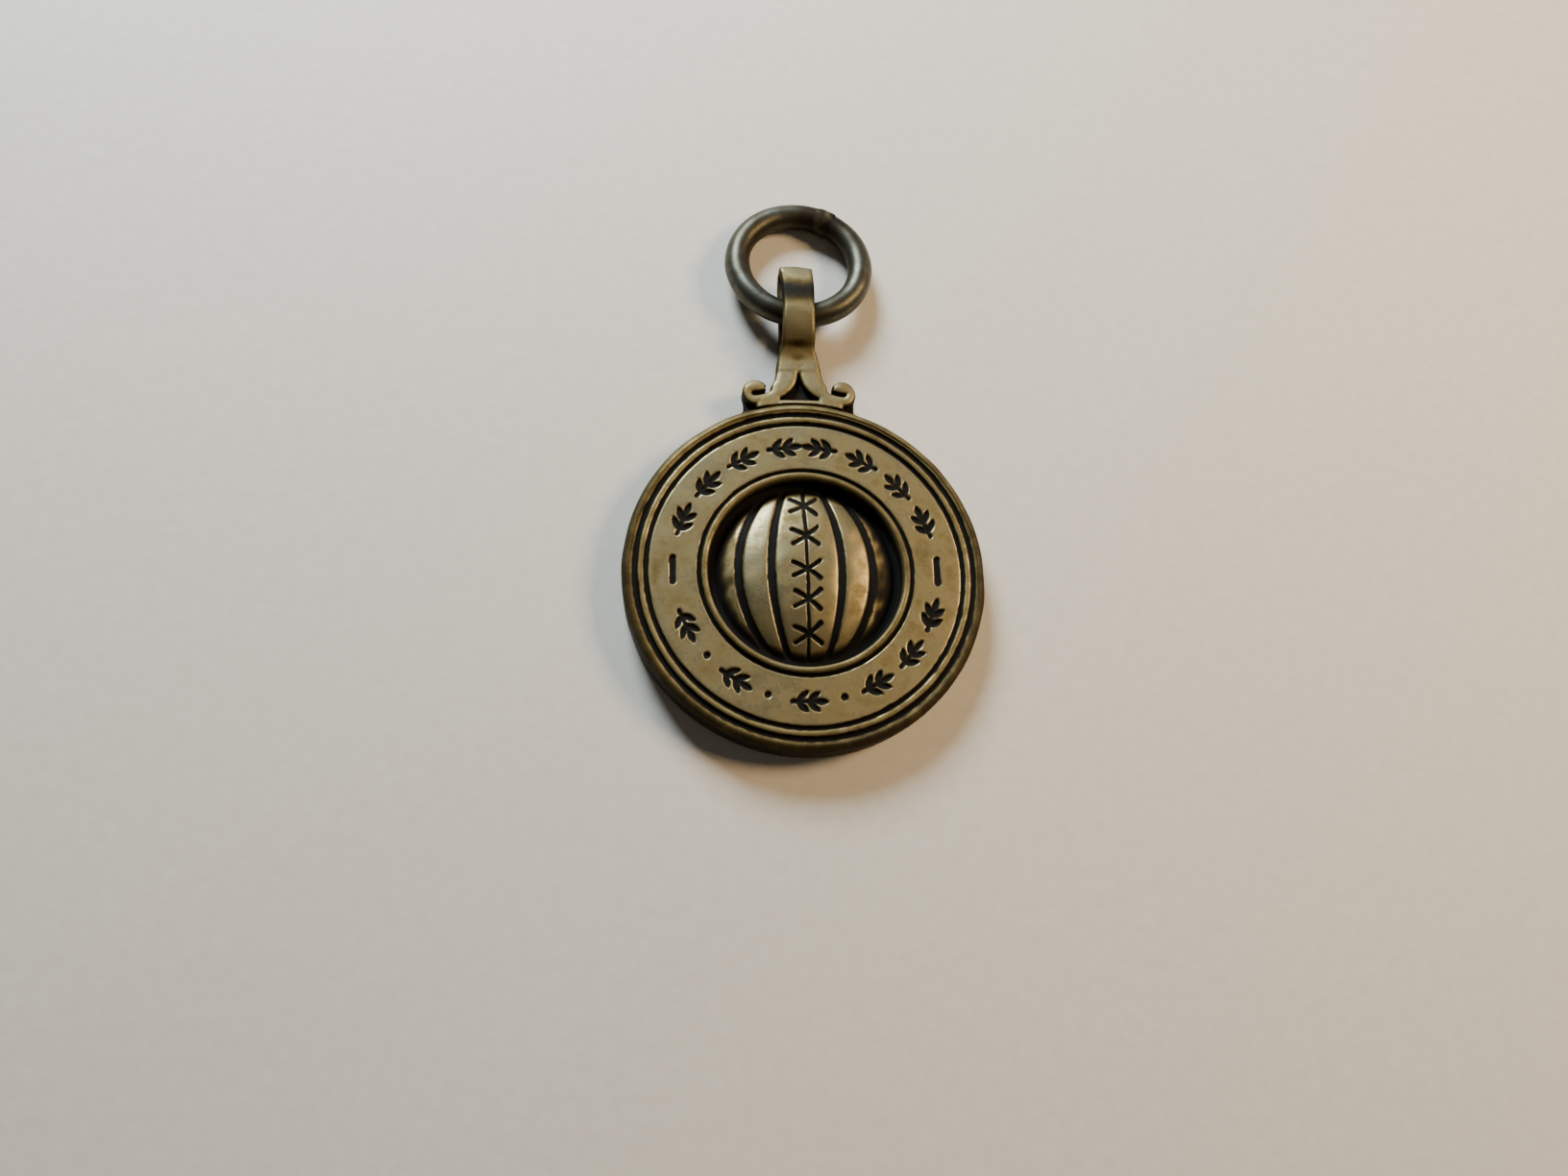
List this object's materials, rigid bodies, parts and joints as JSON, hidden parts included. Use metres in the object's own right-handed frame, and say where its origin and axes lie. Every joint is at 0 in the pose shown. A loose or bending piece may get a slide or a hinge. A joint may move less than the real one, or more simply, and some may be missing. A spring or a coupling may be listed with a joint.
{
  "type": "sports medal",
  "caption": "Struck brass champion's medal with a laced ball in relief, a scroll-footed suspension and a round-wire jump ring that swings in its eye.",
  "frame": {"origin": "centre of the disc's flat back face", "axes": "+Z out of the obverse, +Y from the disc to the jump ring, +X to the right as the obverse is seen"},
  "size_m": [0.028, 0.0473, 0.0042],
  "materials": {
    "struck_brass": "struck relief, toned, worn bright on the high flats and dark in the recesses",
    "strip_brass": "stamped strip, toned and lightly worn",
    "ring_wire": "drawn wire, grey-brown tone with polished wear",
    "old_solder": "dull brown oxidised solder"
  },
  "bodies": {
    "medal": {"disc": "struck_brass", "suspension": "strip_brass", "rim_solder": "old_solder", "tongue_solder": "old_solder"},
    "ring": {"jump_ring": "ring_wire", "ring_solder": "old_solder"}
  },
  "joints": [
    {"name": "ring_swing", "type": "hinge", "parent": "medal", "child": "ring", "pos_m": [0, 0.0221, 0.00218], "axis": [1, 0, 0], "range_deg": [-149, 171]}
  ]
}
